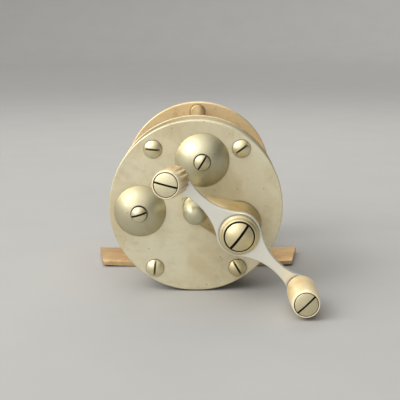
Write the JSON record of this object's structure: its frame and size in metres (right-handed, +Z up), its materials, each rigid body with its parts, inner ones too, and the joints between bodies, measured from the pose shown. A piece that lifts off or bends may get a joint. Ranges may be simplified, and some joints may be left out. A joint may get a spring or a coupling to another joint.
{
  "type": "baitcasting reel",
  "caption": "Multiplying fishing reel with a geared double crank, an open pillared spool, click and drag adjusters and a cross foot that fits a rod's reel seat.",
  "frame": {"origin": "centre of the foot's underside, below the middle of the spool", "axes": "+Z up from the foot, +Y along the spool's axis towards the tail plate, -Y towards the crank, +X along the foot"},
  "size_m": [0.0692, 0.0958, 0.0521],
  "materials": {
    "nickel_silver": "satin, aged",
    "bright_nickel": "satin",
    "warm_nickel": "polished, aged",
    "tarnished_nickel": "satin, toned",
    "bearing_brass": "turned",
    "tool_steel": "turned",
    "grip_ivory": "polished",
    "drag_leather": "matte"
  },
  "bodies": {
    "frame": {"head_cover": "nickel_silver", "crank_boss": "warm_nickel", "head_ring": "nickel_silver", "gear_plate": "tarnished_nickel", "standoffs": "bearing_brass", "spacer_sleeves": "bearing_brass", "cover_screws": "warm_nickel", "pillar_top": "tarnished_nickel", "pillar_left": "tarnished_nickel", "pillar_right": "tarnished_nickel", "foot_pillar_left": "tarnished_nickel", "foot_pillar_right": "tarnished_nickel", "head_pillar_screws": "tool_steel", "tail_plate": "tarnished_nickel", "tail_screws": "warm_nickel", "reel_foot": "tarnished_nickel", "foot_saddle_left": "tarnished_nickel", "foot_saddle_right": "tarnished_nickel", "foot_screws": "tool_steel", "head_bearing": "bearing_brass", "gear_plate_bearing": "bearing_brass", "tail_bearing": "bearing_brass", "crank_bush": "bearing_brass", "crank_pivot_bush": "bearing_brass", "click_dome": "nickel_silver", "click_spring": "tool_steel", "drag_dome": "nickel_silver", "drag_spring": "tool_steel"},
    "head_cap": {"head_bearing_cap": "nickel_silver"},
    "tail_cap": {"tail_bearing_cap": "nickel_silver"},
    "click": {"click_screw": "nickel_silver", "click_pawl": "tool_steel"},
    "drag_knob": {"drag_screw": "nickel_silver"},
    "drag_slide": {"drag_plunger": "tool_steel", "drag_pad": "drag_leather"},
    "spool": {"spool_arbor": "tarnished_nickel", "head_flange": "tarnished_nickel", "tail_flange": "tarnished_nickel", "spool_shaft": "tool_steel", "pinion": "bearing_brass", "ratchet_wheel": "tool_steel"},
    "crank": {"crank_shaft": "tool_steel", "main_gear": "bearing_brass", "crank_arm": "bright_nickel", "crank_collar": "warm_nickel", "crank_screw": "warm_nickel", "upper_grip_post": "tool_steel", "lower_grip_post": "tool_steel", "upper_grip_screw": "bright_nickel", "lower_grip_screw": "bright_nickel"},
    "grip_upper": {"upper_grip": "grip_ivory"},
    "grip_lower": {"lower_grip": "grip_ivory"}
  },
  "joints": [
    {"name": "crank_spin", "type": "hinge", "parent": "frame", "child": "crank", "pos_m": [0.01245, 0, 0.02087], "axis": [0, 1, 0], "continuous": true},
    {"name": "spool_spin", "type": "hinge", "parent": "frame", "child": "spool", "pos_m": [0, 0, 0.0261], "axis": [0, 1, 0], "continuous": true},
    {"name": "upper_grip_spin", "type": "hinge", "parent": "crank", "child": "grip_upper", "pos_m": [-0.00546, -0.05045, 0.03699], "axis": [0.1381, 0.9877, -0.0734], "continuous": true},
    {"name": "lower_grip_spin", "type": "hinge", "parent": "crank", "child": "grip_lower", "pos_m": [0.03035, 0, 0.00474], "axis": [0, 1, 0], "continuous": true},
    {"name": "click_turn", "type": "hinge", "parent": "frame", "child": "click", "pos_m": [-0.0167, 0, 0.0249], "axis": [0, -1, 0], "range_deg": [0, 14]},
    {"name": "drag_turn", "type": "hinge", "parent": "frame", "child": "drag_knob", "pos_m": [0.002, 0, 0.0402], "axis": [0, 1, 0], "range_deg": [0, 360]},
    {"name": "drag_press", "type": "slide", "parent": "frame", "child": "drag_slide", "axis": [0, 1, 0], "range_m": [0, 0.0008]},
    {"name": "head_cap_turn", "type": "hinge", "parent": "frame", "child": "head_cap", "pos_m": [0, 0, 0.0261], "axis": [0, -1, 0], "range_deg": [0, 360]},
    {"name": "tail_cap_turn", "type": "hinge", "parent": "frame", "child": "tail_cap", "pos_m": [0, 0, 0.0261], "axis": [0, 1, 0], "range_deg": [0, 360]}
  ],
  "couplings": [
    {"joint": "spool_spin", "follows": "crank_spin", "ratio": -4},
    {"joint": "drag_turn", "follows": "drag_press", "rad_per_m": 7853.9}
  ]
}
